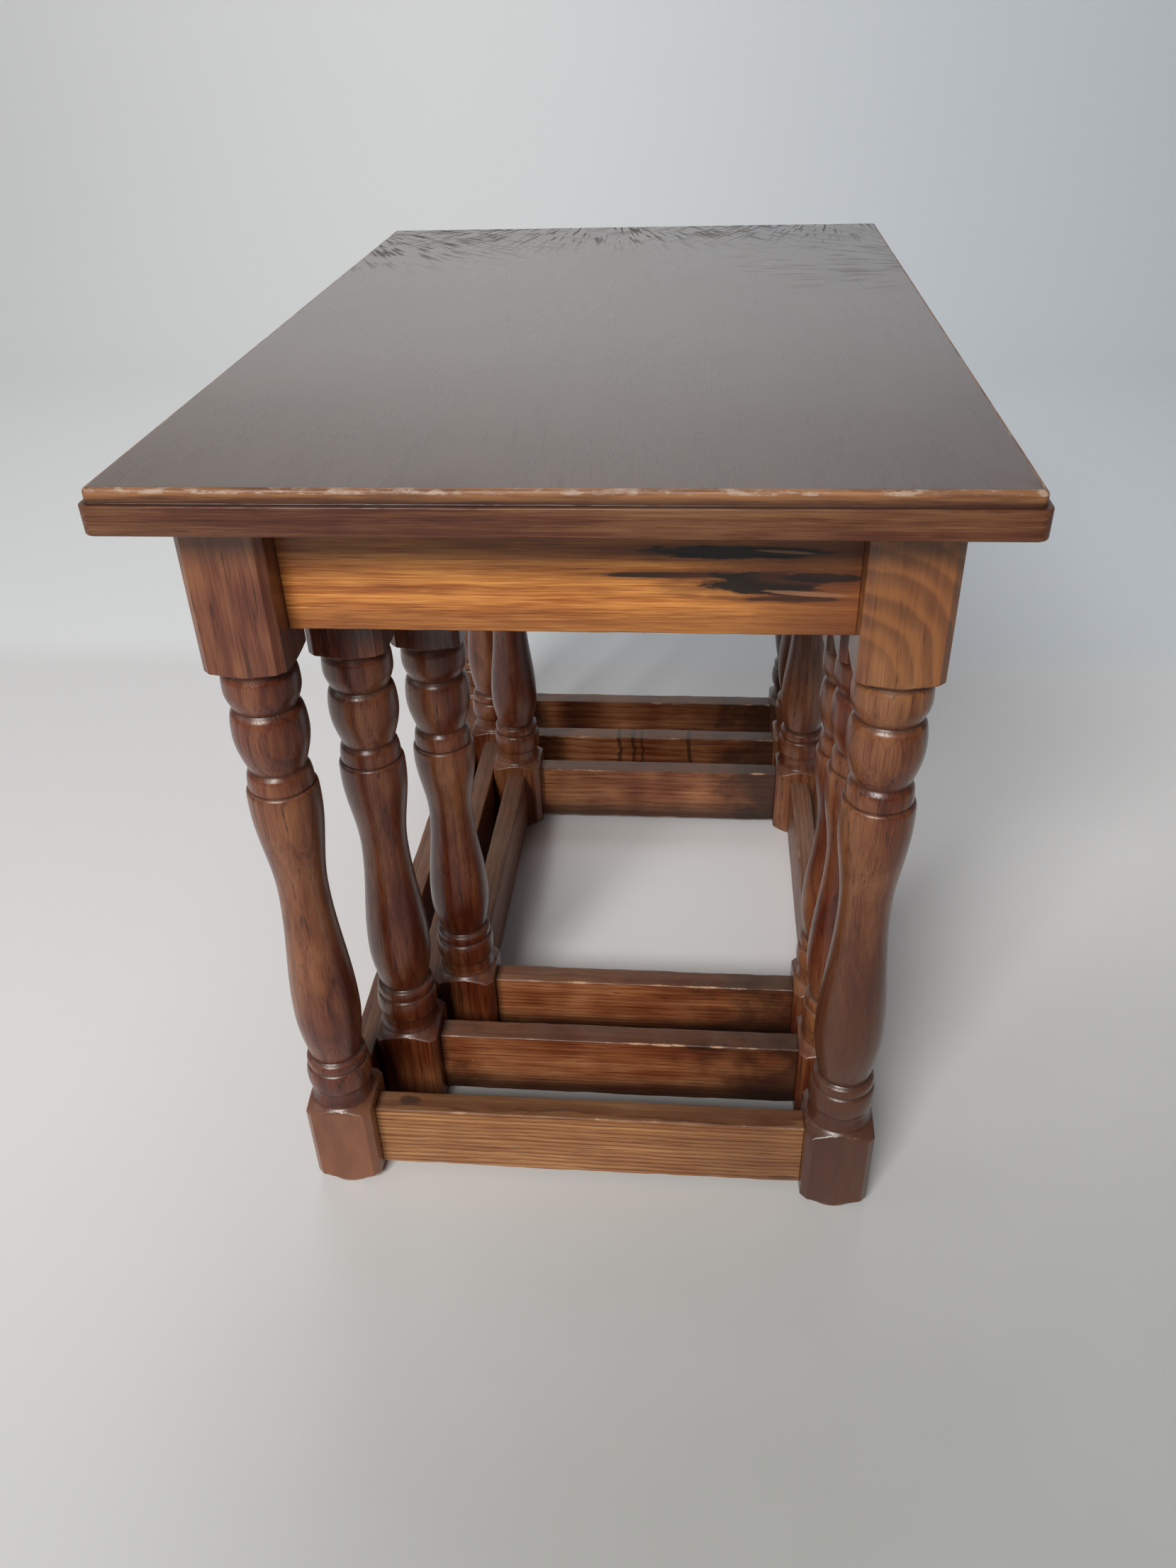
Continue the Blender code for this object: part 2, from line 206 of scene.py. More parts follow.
def leg(node, x, y, height):
    """Radius as a function of height and direction: the least of the turning's radius and the
    reach of a chamfered square, joined softly by a high power mean so that arrises are eased."""
    z, turned = turned_profile(height)
    turn = leg_angles()
    flats = [LEG_HALF / np.abs(np.cos(turn)).clip(1e-6), LEG_HALF / np.abs(np.sin(turn)).clip(1e-6)]
    diagonal = np.abs((turn % (pi / 2)) - pi / 4)
    flats.append((2 * LEG_HALF - CHAMFER) / 2**0.5 / np.cos(diagonal))
    powers = sum(reach**-FLAT_POWER for reach in np.array(flats) / LEG_HALF)
    square = powers ** (-1 / FLAT_POWER) * LEG_HALF
    ratio = turned[:, None] / square[None, :]
    hard = np.minimum(1, ratio)
    soft = (1 + ratio**-TURNED_POWER) ** (-1 / TURNED_POWER)
    radius = soft * square[None, :]
    block = (ratio > 1).astype(float)

    widest = 0.0215  # what a block counts as, so that it doesn't drown the beads beside it
    samples, taps = 900, 25
    reach = np.minimum(turned, widest)
    even = np.linspace(0, z[-1], samples)
    spread = np.exp(-(np.linspace(-3, 3, taps) ** 2) / 2)
    padded = np.pad(np.interp(even, z, reach), taps // 2, mode="edge")
    blurred = np.convolve(padded, spread / spread.sum(), "valid")
    relief = (reach - np.interp(z, even, blurred))[:, None] + 0 * turn[None, :]
    corner = 1 - square / np.min(flats, axis=0)
    most_soft, most_corner = 0.0043, 0.0031  # the shares that easing takes off at the very arris
    arris = np.clip((hard - soft) / most_soft, 0, 1)
    arris = arris + block * np.clip(corner / most_corner, 0, 1)
    proud = 0.0009  # how far a member stands out or lies back for a full mark
    points = np.stack([
        x + radius * np.cos(turn), y + radius * np.sin(turn), z[:, None] + 0 * radius
    ], axis=-1)
    marks = {
        "arris": np.clip(arris + np.clip(relief / proud, 0, 0.6), 0, 1),
        # Members that lie back take the groove mark, which the materials darken partly as dirt and
        # partly as painted shade.
        "groove": np.clip(-relief / proud, 0, 1),
        "block": block,
    }
    return surface(f"{node}_turned", points, marks, sharp=38)


# ---------------------------------------------------------------- tops and boards

UPPER_BAND = 0.0069  # height of the top's narrow upper band and the cove under it
BAND_STEP = 0.0028  # how far the upper band stands in from the lower
TOP_ARRIS = 0.0022
TOP_CORNER = 0.0055
RIM = 0.0045  # points further in than this belong to a flat face
FLAT_INSET = 0.030  # the innermost ring of either face
EDGE_RUN = 0.012  # between points along the top's edge
SHARPEST = 0.0004  # the tightest corner that an inset leaves
BOARD_RUN = 0.006  # between rings along a board
HAIR = 0.0002  # left between a board and a leg
POCKET_DEPTH = 0.030
POCKET_RADIUS = 0.0049
SHANK = 0.00225  # radius of a screw

def rounded_outline(half_x, half_y, radius, inset, run, corner=6):
    """A rectangle with rounded corners drawn in by each inset: straight runs cut in equal steps,
    then a quarter circle round each corner. Returns rings of x and y, and the side of each point."""
    inset = np.asarray(inset, float)[:, None]
    turned = np.maximum(radius - inset, SHARPEST)
    cx, cy = half_x - inset - turned, half_y - inset - turned
    xs, ys, sides = [], [], []
    for side, (sx, sy) in enumerate(((1, -1), (1, 1), (-1, 1), (-1, -1))):
        angle = np.radians(side * 90 - 90 + np.linspace(0, 90, corner + 1))[None, :]
        xs.append(sx * cx + turned * np.cos(angle))
        ys.append(sy * cy + turned * np.sin(angle))
        steps = max(2, round(2 * (half_y if side % 2 == 0 else half_x) / run))
        share = np.arange(1, steps)[None, :] / steps
        nx, ny = ((1, 1), (-1, 1), (-1, -1), (1, -1))[side]
        x0, y0 = xs[-1][:, -1:], ys[-1][:, -1:]
        if side % 2 == 0:
            x1, y1 = x0, ny * cy
        else:
            x1, y1 = nx * cx, y0
        xs.append(x0 + (x1 - x0) * share)
        ys.append(y0 + (y1 - y0) * share)
        sides += [side + 1] * (corner // 2) + [side] * (corner - corner // 2 + steps)
    return np.concatenate(xs, axis=1), np.concatenate(ys, axis=1), np.array(sides)


def table_top(node):
    """The edge moulding, inset against height, carried round the rounded outline of the board:
    a broad lower band, a cove, a narrow upper band and an eased arris, with both faces flat."""
    low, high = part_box(node)
    thick = high.z - low.z
    quarter = np.linspace(0, pi / 2, 6)
    step = thick - UPPER_BAND
    # The dust column marks the cove, which the materials darken partly as dirt and partly as painted
    # shade.
    rise = [  # inset from the board's outer edge, height over the underside, wear, dust
        ([FLAT_INSET, 0.0030], [0, 0], 0, 0),
        (0.0012 * (1 - np.sin(quarter)), 0.0012 * (1 - np.cos(quarter)), 0.5, 0),
        ([0.0], [step - 0.0009], 0, 0),
        (0.0006 * (1 - np.cos(quarter)), step - 0.0006 + 0.0006 * np.sin(quarter), 0.8, 0),
        ([0.0020], [step + 0.0001], 0, 1),
        (0.0022 + 0.0006 * np.sin(quarter), step + 0.0007 - 0.0006 * np.cos(quarter), 0, 1),
        ([BAND_STEP], [thick - TOP_ARRIS - 0.0003], 0, 0),
        (BAND_STEP + TOP_ARRIS * (1 - np.cos(quarter)),
         thick - TOP_ARRIS * (1 - np.sin(quarter)), 1, 0),
        ([0.0062, FLAT_INSET], [thick, thick], 0, 0),
    ]
    inset = np.concatenate([np.asarray(r[0], float) for r in rise])
    level = np.concatenate([np.asarray(r[1], float) for r in rise])
    wear = np.concatenate([np.full(len(r[0]), float(r[2])) for r in rise])
    dust = np.concatenate([np.full(len(r[0]), float(r[3])) for r in rise])
    half_x, half_y = (high.x - low.x) / 2, (high.y - low.y) / 2
    xs, ys, sides = rounded_outline(half_x, half_y, TOP_CORNER, inset, run=EDGE_RUN)
    around = np.arange(xs.shape[1]) * EDGE_RUN
    knocks = np.clip(unevenness(around, 11, shortest=0.026) - 0.9, 0, 1)
    level = level[:, None] - 0.00035 * knocks[None, :] * (wear[:, None] > 0.9)
    points = np.stack([
        xs + (low.x + high.x) / 2, ys + (low.y + high.y) / 2, low.z + level
    ], axis=-1)
    flat = (inset[1:] > RIM) & (inset[:-1] > RIM)
    bands = np.where(flat[:, None], 0, np.where(sides % 2 == 0, 1, 2)[None, :])
    upper = (inset >= BAND_STEP) & (inset < 0.0055)
    marks = {
        "arris": wear[:, None] + 0 * xs, "groove": dust[:, None] + 0 * xs,
        "upper": upper[:, None] + 0 * xs,
    }
    return surface(f"{node}_moulded", points, marks, bands, sharp=50)


def board_span(node):
    """The board's own box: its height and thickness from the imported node, and its length from leg
    to leg, without the tenons, less a hair's gap."""
    low, high = (np.array(corner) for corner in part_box(node))
    table, _, side = node.split("_")[:3]
    along = 1 if side in ("left", "right") else 0
    first = f"front_{side}" if along else f"{side}_left"
    second = f"back_{side}" if along else f"{side}_right"
    low[along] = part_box(f"{table}_leg_{first}")[1][along] + HAIR
    high[along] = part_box(f"{table}_leg_{second}")[0][along] - HAIR
    return low, high, along


def board(node, arris, seed):
    """A rectangle with rounded corners, carried along the board: the corners' radius wavers a
    little as it goes, as a sanded and knocked edge does."""
    low, high, along = board_span(node)
    count = max(8, round((high - low)[along] / BOARD_RUN))
    stations = np.linspace(low[along], high[along], count)
    half_a = (high[1 - along] - low[1 - along]) / 2
    half_z = (high[2] - low[2]) / 2
    corner = np.radians(np.linspace(0, 90, 6))
    a, z, wear = [], [], []
    for number, (sa, sz) in enumerate(((1, 1), (-1, 1), (-1, -1), (1, -1))):
        waver = unevenness(stations, seed + number)
        radius = arris * (1 + 0.45 * np.clip(waver, -1.2, 1.6))[:, None]
        turn = (corner + number * pi / 2)[None, :]
        a.append(sa * (half_a - radius) + radius * np.cos(turn))
        z.append(sz * (half_z - radius) + radius * np.sin(turn))
        shown = np.sin(np.linspace(0, pi, 6))[None, :] ** 0.5
        wear.append(shown * (0.75 + 0.25 * waver[:, None]))
    a, z, wear = (np.concatenate(rows, axis=1) for rows in (a, z, wear))
    middle = (low + high) / 2
    points = np.zeros((*a.shape, 3))
    points[..., 1 - along] = middle[1 - along] + (a if along == 0 else -a)
    points[..., 2] = middle[2] + z
    points[..., along] = stations[:, None]
    marks = {"arris": np.clip(wear, 0, 1), "groove": 0 * wear}
    return surface(f"{node}_board", points, marks, sharp=60)


def drilled(piece, node):
    """Cuts the screws' pockets into a rail's lower edge, with a tube for each screw."""
    for number in (1, 2):
        low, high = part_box(f"{node}_screw_{number}")
        x, y = (low.x + high.x) / 2, (low.y + high.y) / 2
        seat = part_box(node)[0].z + POCKET_DEPTH
        turn = np.linspace(0, 2 * pi, 40, endpoint=False)
        radius = np.array([POCKET_RADIUS, POCKET_RADIUS, POCKET_RADIUS - 0.0003, 0.0006])[:, None]
        below = -POCKET_DEPTH - 0.004
        level = np.array([below, 0.0, 0.0004, 0.0012])[:, None] + seat + 0 * turn
        points = np.stack([x + radius * np.cos(turn), y + radius * np.sin(turn), level], axis=-1)
        # The pocket walls take the groove mark, darkened partly as dirt and partly as painted shade.
        marks = {"arris": 0 * level, "groove": 0 * level + 1}
        tube = surface(f"{node}_pocket_{number}", points, marks)
        cut = piece.modifiers.new("pocket", "BOOLEAN")
        cut.object, cut.operation, cut.solver = tube, "DIFFERENCE", "EXACT"
        bpy.context.view_layer.update()
        graph = bpy.context.evaluated_depsgraph_get()
        made = bpy.data.meshes.new_from_object(piece.evaluated_get(graph))
        piece.modifiers.remove(cut)
        piece.data = made
        bpy.data.objects.remove(tube)
    piece.data.set_sharp_from_angle(angle=radians(50))
    return piece


def screw(node):
    """Radius against height, carried round the axis: a domed head with a cross slot sunk
    within a hair of its two axes, a shank ringed as a thread, and a point."""
    low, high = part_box(node)
    x, y = (low.x + high.x) / 2, (low.y + high.y) / 2
    head = (high.x - low.x) / 2
    turn = np.linspace(0, 2 * pi, 48, endpoint=False)[None, :]
    dome = np.linspace(0.02, 1, 12)
    radius = [head * dome, [head, head * 0.98, SHANK]]
    level = [0.0011 * dome**3, [0.0022, 0.0029, 0.0030]]
    length = high.z - low.z
    thread = np.arange(0.0032, length - 0.005, 0.0004)
    radius += [SHANK - 0.0002 + 0.0004 * (np.arange(len(thread)) % 4 < 1), [0.0009, 0.0001]]
    level += [thread, [length - 0.0012, length]]
    radius, level = np.concatenate(radius)[:, None], np.concatenate(level)[:, None]
    across, aside = radius * np.cos(turn), radius * np.sin(turn)
    slot = (np.minimum(np.abs(across), np.abs(aside)) < 0.00055) & (radius < head * 0.62)
    sunk = np.where(slot & (level < 0.0012), 0.0010, 0)
    points = np.stack([x + across, y + aside, low.z + level + sunk], axis=-1)
    return surface(f"{node}_slotted", points, sharp=40)


# ---------------------------------------------------------------- materials

class Amount:
    """A number, colour or vector that varies over a surface. Operators on numbers add Math nodes."""

    def __init__(self, finish, socket):
        self.finish, self.socket = finish, socket

    def _math(self, operation, *others):
        return self.finish.add("ShaderNodeMath", {"operation": operation}, [*others])

    def __add__(self, other):
        return self._math("ADD", self, other)

    def __radd__(self, other):
        return self._math("ADD", other, self)

    def __sub__(self, other):
        return self._math("SUBTRACT", self, other)

    def __rsub__(self, other):
        return self._math("SUBTRACT", other, self)

    def __mul__(self, other):
        return self._math("MULTIPLY", self, other)

    def __rmul__(self, other):
        return self._math("MULTIPLY", other, self)

    def __truediv__(self, other):
        return self._math("DIVIDE", self, other)

    def __rtruediv__(self, other):
        return self._math("DIVIDE", other, self)

    def __pow__(self, other):
        return self._math("POWER", self, other)

    def squared(self):
        return self._math("MULTIPLY", self, self)

    def fract(self):
        return self._math("FRACT", self)

    def most(self, other):
        return self._math("MAXIMUM", self, other)

    def ramp(self, start, end, low=0.0, high=1.0):
        """Goes smoothly from low to high as the number goes from start to end."""
        settings = {"interpolation_type": "SMOOTHSTEP", "clamp": True}
        return self.finish.add("ShaderNodeMapRange", settings, [self, start, end, low, high])


class Finish:
    """A material in the making."""

    def __init__(self, name):
        self.material = bpy.data.materials.new(name)
        self.material.use_nodes = True
        self.tree = self.material.node_tree
        self.shader = self.tree.nodes["Principled BSDF"]
        self.column = 0

    def add(self, kind, settings=None, inputs=(), output=0):
        """Adds a node: settings first, then the values or links of its inputs, by place or name."""
        node = self.tree.nodes.new(kind)
        self.column += 1
        node.location = (-200 - 180 * (self.column % 12), -160 * (self.column // 12))
        for key, value in (settings or {}).items():
            if key == "stops":
                self._stops(node.color_ramp, value)
            else:
                setattr(node, key, value)
        pairs = inputs.items() if isinstance(inputs, dict) else enumerate(inputs)
        for key, value in pairs:
            self.join(value, node.inputs[key])
        return Amount(self, node.outputs[output])

    @staticmethod
    def _stops(ramp, stops):
        while len(ramp.elements) < len(stops):
            ramp.elements.new(1.0)
        for element, (place, colour) in zip(ramp.elements, stops):
            element.position, element.color = place, (*colour, 1.0)

    def join(self, value, socket):
        if isinstance(value, Amount):
            self.tree.links.new(value.socket, socket)
        elif socket.type == "RGBA" and len(value) == 3:
            socket.default_value = (*value, 1.0)
        else:
            socket.default_value = value

    def set(self, **inputs):
        for key, value in inputs.items():
            self.join(value, self.shader.inputs[key.replace("_", " ")])

    def mark(self, label):
        return self.add("ShaderNodeAttribute", {"attribute_name": label}, (), "Fac")

    def position(self):
        return self.add("ShaderNodeTexCoord", output="Object")

    def parts(self, vector):
        """The three numbers of a vector."""
        node = self.add("ShaderNodeSeparateXYZ", None, [vector]).socket.node
        return [Amount(self, node.outputs[i]) for i in range(3)]

    def vector(self, operation, *operands):
        return self.add("ShaderNodeVectorMath", {"operation": operation}, [*operands])

    def noise(self, place, stretch, detail=2.0, rough=0.55, output=0):
        """Cloudy noise with stretch blotches to the metre along each axis."""
        drawn = self.vector("MULTIPLY", place, stretch)
        values = {"Vector": drawn, "Scale": 1.0, "Detail": detail, "Roughness": rough}
        return self.add("ShaderNodeTexNoise", {}, values, output)

    def blend(self, share, first, second):
        node = self.tree.nodes.new("ShaderNodeMix")
        node.data_type, node.clamp_factor = "RGBA", True
        for value, socket in ((share, 0), (first, 6), (second, 7)):
            self.join(value, node.inputs[socket])
        return Amount(self, node.outputs[2])

    def tones(self, share, stops):
        return self.add("ShaderNodeValToRGB", {"stops": stops}, [share])


TURNED_TO_X = {"X": (0, 0, 0), "Y": (0, 0, -pi / 2), "Z": (0, pi / 2, 0)}
# The grey-brown of dust, which on upward faces also stands for a painted sheen of the pale
# surroundings.
DUST_AND_SHEEN = (0.190, 0.145, 0.116)


def stain(mean, worn):
    """Six colours: four from deep to light round the mean, the worn edge, and dust with a painted
    sheen. The deep ones lose green and blue faster than red, as a stain does where it soaks in."""
    steps = ((0.42, 1.25), (0.78, 1.08), (1.20, 0.96), (1.75, 0.90))
    tones = [tuple(share * c**power for c, power in zip(mean, (1, warm, warm)))
             for share, warm in steps]
    return [*tones, worn, DUST_AND_SHEEN]


def wood(
    name, grain, colours, heart, pitch, lines=0.5, fibre=0.5, mottle=0.5, pores=0.5, flash=0.2,
    gloss=0.36, wear=0.5, rub_from=0.62, dust=0.3, wander=0.008, coat=0.0, fine=190,
    extra=None,
):
    """Stained wood under satin varnish, with its grain along one axis.

    The rings are the distance from the heart, which lies beside the grain, divided by their
    pitch; a slow noise makes them wander. Each ring darkens towards its late wood, which ends
    in a thin broken line. Long thin noise gives the fibres and pores, broad noise the blotches
    of the stain, and the marks on the surface say where an arris has worn and dust lies.
    Grooves darken partly with dirt and partly with painted shade, and upward faces grey partly
    with dust and partly with a painted sheen of the pale surroundings. The extra function adds
    what only one board or leg shows, and may say where the coat is dull.
    """
    f = Finish(name)
    place = f.position()
    turned = f.add("ShaderNodeMapping", None, {"Vector": place, "Rotation": TURNED_TO_X[grain]})
    sway = f.vector("SUBTRACT", f.noise(turned, (4, 18, 18), 3, output=1), (0.5, 0.5, 0.5))
    grown = f.vector("ADD", turned, f.vector("MULTIPLY", sway, (0, wander, wander)))
    _, side, up = f.parts(grown)
    out = ((side - heart[0]).squared() + (up - heart[1]).squared()) ** 0.5
    ripple = f.noise(turned, (26, 90, 90), 2)
    ring = (out / pitch + ripple * 0.8).fract()
    late = ring.ramp(0.35, 0.95) * ring.ramp(1.0, 0.96)
    dashes = f.noise(turned, (45, 160, 160), 2, 0.6).ramp(0.40, 0.56)
    line = ring.ramp(0.78, 0.92) * ring.ramp(1.0, 0.95) * dashes
    streak = f.noise(turned, (6, fine, fine), 3, 0.6)
    thread = f.noise(turned, (32, 1300, 1300), 2, 0.6)
    blotch = f.noise(turned, (10, 30, 30), 3, 0.6)
    cloud = f.noise(place, (4.5, 7, 7), 2)
    pore = f.noise(turned, (60, 950, 950), 1).ramp(0.60, 0.70)
    silk = f.noise(turned, (30, 8, 8), 1)

    tone = 0.5 + (streak - 0.5) * (1.5 * fibre) + (thread - 0.5) * (1.5 * fibre)
    tone = tone + (blotch - 0.5) * (1.4 * mottle) + (cloud - 0.5) * (1.1 * mottle)
    tone = tone + (silk - 0.5) * flash - late * (0.32 * lines)
    colour = f.tones(tone, list(zip((0.10, 0.38, 0.62, 0.92), colours[:4])))
    deep = tuple(0.35 * c for c in colours[0])
    colour = f.blend(line * (0.85 * lines), colour, deep)
    colour = f.blend(pore * (0.30 + 0.70 * late) * pores, colour, deep)
    height = fibre * thread - line * (0.9 * lines) - pore * (0.8 * pores)
    rough = gloss + 0.12 * (blotch - 0.5) + (0.2 * pores) * pore + 0.06 * (streak - 0.5)

    arris, groove = f.mark("arris"), f.mark("groove")
    if extra:
        colour, height, rough, dull = extra(f, colour, height, rough)
        coat = coat * (1.0 - dull) if dull else coat
    rub = f.noise(turned, (90, 260, 260), 4, 0.7)
    rubbed = (rub * arris).ramp(rub_from - 0.10, rub_from + 0.06) * wear
    colour = f.blend(rubbed, colour, colours[4])
    # Grooves and recesses darkened, partly as dirt and partly as painted shade.
    colour = f.blend(groove * 0.85, colour, tuple(0.5 * c for c in colours[0]))
    facing = f.parts(f.add("ShaderNodeNewGeometry", output="Normal"))[2]
    # Dust and a painted sheen of the pale surroundings grey the upward faces, and more faintly the
    # grooves.
    dust_and_sheen_patches = f.noise(place, (45, 45, 45), 3, 0.6).ramp(0.30, 0.75, 0.35, 1.0)
    dust_and_sheen = (facing.ramp(0.10, 0.95) * dust_and_sheen_patches * dust).most(groove * dust_and_sheen_patches * (0.5 * dust))
    colour = f.blend(dust_and_sheen, colour, colours[5])
    lint = f.add("ShaderNodeTexVoronoi", None, {"Vector": place, "Scale": 70.0})
    lint = lint.ramp(0.045, 0.025) * f.noise(place, (31, 31, 31), 1).ramp(0.60, 0.66)
    colour = f.blend(lint * (0.9 if dust > 0.2 else 0.3), colour, (0.42, 0.36, 0.31))
    rough = rough + 0.25 * dust_and_sheen + 0.08 * rubbed

    bump = f.add("ShaderNodeBump", None, {"Strength": 0.4, "Distance": 0.0003, "Height": height})
    f.set(Base_Color=colour, Roughness=rough, Normal=bump, IOR=1.46, Coat_Weight=coat)
    f.set(Coat_Roughness=0.30)
    return f.material


def knots(f, colour, height, rough):
    """Long black knots, each an ellipse broken by noise, in the upper right of an end apron,
    with two pale splits beside them, in wood that turns redder and darker towards that end. A
    band of painted shadow from the top's overhang darkens the apron's upper part, and the apron
    also darkens towards its lower edge."""
    _, y, z = f.parts(f.position())
    ragged = f.noise(f.position(), (20, 45, 190), 4, 0.65) - 0.5
    edge_wobble = (f.noise(f.position(), (20, 22, 90), 3, 0.6) - 0.5) * 1.6
    shade = (y + edge_wobble * 0.04).ramp(-0.035, -0.125)
    colour = f.blend(shade * 0.75, colour, (0.150, 0.042, 0.014))
    # Painted shadow: the top's overhang shades the apron's upper part; the apron also darkens
    # towards its lower edge.
    upper = (z + edge_wobble * 0.004).ramp(0.421, 0.436) * 0.5
    lower = (z + edge_wobble * 0.003).ramp(0.409, 0.398) * 0.45
    colour = f.blend(upper.most(lower), colour, (0.130, 0.038, 0.012))
    for mid_y, mid_z, long, thick, depth in (
        (-0.076, 0.4350, 0.044, 0.0034, 1.0),
        (-0.048, 0.4235, 0.030, 0.0014, 0.9),
        (-0.091, 0.4195, 0.030, 0.0062, 0.97),
        (-0.118, 0.4228, 0.020, 0.0026, 0.85),
        (-0.104, 0.4120, 0.026, 0.0014, 0.7),
    ):
        away = ((y - mid_y) / long).squared() + ((z - mid_z) / thick).squared()
        halo = (away * 0.30 + ragged * 1.5).ramp(1.0, 0.3)
        colour = f.blend(halo * 0.50, colour, (0.100, 0.024, 0.009))
        core = (away + ragged * 2.4).ramp(1.10, 0.60)
        colour = f.blend(core * depth, colour, (0.0075, 0.0035, 0.003))
        rough = rough - 0.05 * core
    for mid_y, mid_z, long, thick in (
        (-0.112, 0.4148, 0.022, 0.0012), (-0.100, 0.4352, 0.014, 0.0007),
    ):
        tilt = z - mid_z - (y - mid_y) * 0.06
        away = ((y - mid_y) / long).squared() + (tilt / thick).squared()
        split = (away + ragged * 2.4).ramp(1.1, 0.5)
        colour = f.blend(split * 0.75, colour, (0.30, 0.140, 0.070))
    return colour, height, rough, None


def ringed_block(f, colour, height, rough):
    """Broad growth rings that cross the head of a leg as slanting arcs round a low corner, with
    painted shadow that darkens the leg lower down."""
    _, y, z = f.parts(f.position())
    bend = (f.noise(f.position(), (14, 14, 14), 2) - 0.5) * 0.022
    out = ((y + 0.132).squared() + ((z - 0.372) * 0.80).squared()) ** 0.5 + bend
    ring = (out / 0.0085).fract()
    head = z.ramp(0.375, 0.380) * out.ramp(0.012, 0.03)
    dark = ring.ramp(0.25, 0.85) * ring.ramp(1.0, 0.88)
    # Painted shadow: the leg darkens from about 0.3 m down to the foot.
    low = z.ramp(0.30, 0.12)
    colour = f.blend(low * 0.85, colour, (0.066, 0.020, 0.009))
    light = ring.ramp(0.6, 0.1) * ring.ramp(0.0, 0.08)
    colour = f.blend((0.30 + 0.38 * light) * head, colour, (0.280, 0.100, 0.023))
    colour = f.blend(dark * head * 0.50, colour, (0.110, 0.036, 0.009))
    return colour, height, rough, None


def lighter_foot(f, colour, height, rough):
    """The foot of the leg, a lighter russet than the turning above it."""
    z = f.parts(f.position())[2]
    patchy = f.noise(f.position(), (40, 40, 16), 3, 0.6).ramp(0.25, 0.65, 0.45, 0.85)
    return f.blend(z.ramp(0.070, 0.062) * patchy, colour, (0.250, 0.086, 0.032)), height, rough, None


def fanned(f, colour, height, rough):
    """Short dark strokes where the varnish has crazed, which fan out from points beyond the far
    end and the front of the top. Towards the near end there are faint dashes that lean a little
    to the grain, a darker tone and a duller coat."""
    x, y, z = f.parts(f.position())
    leaning = f.add("ShaderNodeCombineXYZ", None, [x + y * 0.18, y - x * 0.08, 0.0])
    dash = f.noise(leaning, (15, 1200, 1), 1, 0.5)
    patch = f.noise(leaning, (7, 16, 1), 3)
    dash = dash.ramp(0.58, 0.72) * patch.ramp(0.38, 0.70) * x.ramp(-0.11, -0.26)
    shown = dash * 0.42
    for fx, fy, near_x, strength in (
        (0.43, 0.03, 0.165, 0.90), (0.37, 0.28, 0.080, 1.0), (0.43, -0.17, 0.185, 0.8),
        (0.12, -0.35, 0.020, 0.6),
    ):
        dx, dy = x - fx, y - fy
        away = (dx.squared() + dy.squared()) ** 0.5
        turn = f.add("ShaderNodeMath", {"operation": "ARCTAN2"}, [dy, dx])
        spread = f.add("ShaderNodeCombineXYZ", None, [turn * 52.0, away * 24.0, 0.0])
        stroke = f.add(
            "ShaderNodeTexNoise", None, {"Vector": spread, "Scale": 1.0, "Detail": 3.0}
        )
        near = away.ramp(0.32, 0.14) * x.ramp(near_x, near_x + 0.11) * z.ramp(0.470, 0.478)
        shown = shown.most((stroke - 0.5).ramp(0.030, 0.11) * near * strength)
    colour = f.blend(shown * 0.9, colour, (0.020, 0.011, 0.008))
    colour = f.blend(x.ramp(-0.10, -0.32) * 0.35, colour, (0.055, 0.023, 0.012))
    dull = shown.most(x.ramp(-0.05, -0.36) * 0.40)
    return colour, height - shown * 1.2, rough + shown * 0.35, dull


def spot(f, colour, place, reach, depth=0.9):
    """A small ragged dark knot: an ellipsoid round its place, broken by noise."""
    ragged = f.noise(f.position(), (60, 60, 160), 4, 0.65) - 0.5
    away = ragged * 2.0
    for part, middle, half in zip(f.parts(f.position()), place, reach):
        away = away + ((part - middle) / half).squared()
    return f.blend(away.ramp(1.1, 0.4) * depth, colour, (0.016, 0.007, 0.005))


def small_knots(f, colour, height, rough):
    """Two knots on the top of the large table's left stretcher and the middle table's, a faint one
    low on the large one's face, and a tone that darkens towards the front and along the crown."""
    colour = spot(f, colour, (-0.2610, 0.114, 0.0560), (0.005, 0.0075, 0.004))
    colour = spot(f, colour, (-0.2040, -0.074, 0.0560), (0.004, 0.0130, 0.0035))
    colour = spot(f, colour, (-0.2700, -0.126, 0.0100), (0.002, 0.0110, 0.0020), 0.6)
    y = f.parts(f.position())[1]
    edge_wobble = f.noise(f.position(), (14, 22, 40), 3, 0.6)
    shade = (y + (edge_wobble - 0.5) * 0.12).ramp(-0.02, -0.12)
    colour = f.blend(shade * 0.40, colour, (0.090, 0.030, 0.013))
    crown = f.parts(f.position())[2].ramp(0.0550, 0.0563)
    return f.blend(crown * 0.55, colour, (0.085, 0.027, 0.010)), height, rough, None


def knots_and_painted_shade(f, colour, height, rough):
    """The small knots, and painted shade that darkens the board in ragged patches towards both
    ends, beside the legs, and towards the lower edge."""
    colour, height, rough, _ = small_knots(f, colour, height, rough)
    y = f.parts(f.position())[1]
    edge_wobble = (f.noise(f.position(), (18, 26, 34), 3, 0.6) - 0.5) * 0.16
    # Painted shade in ragged patches towards both ends, beside the legs.
    left = (y + edge_wobble).ramp(0.070, 0.120)
    right = (y + edge_wobble).ramp(-0.070, -0.125)
    colour = f.blend(left.most(right) * 0.80, colour, (0.028, 0.010, 0.006))
    # Painted shade along the lower edge.
    low = (f.parts(f.position())[2] + edge_wobble * 0.03).ramp(0.030, 0.010)
    return f.blend(low * 0.80, colour, (0.018, 0.008, 0.005)), height, rough, None


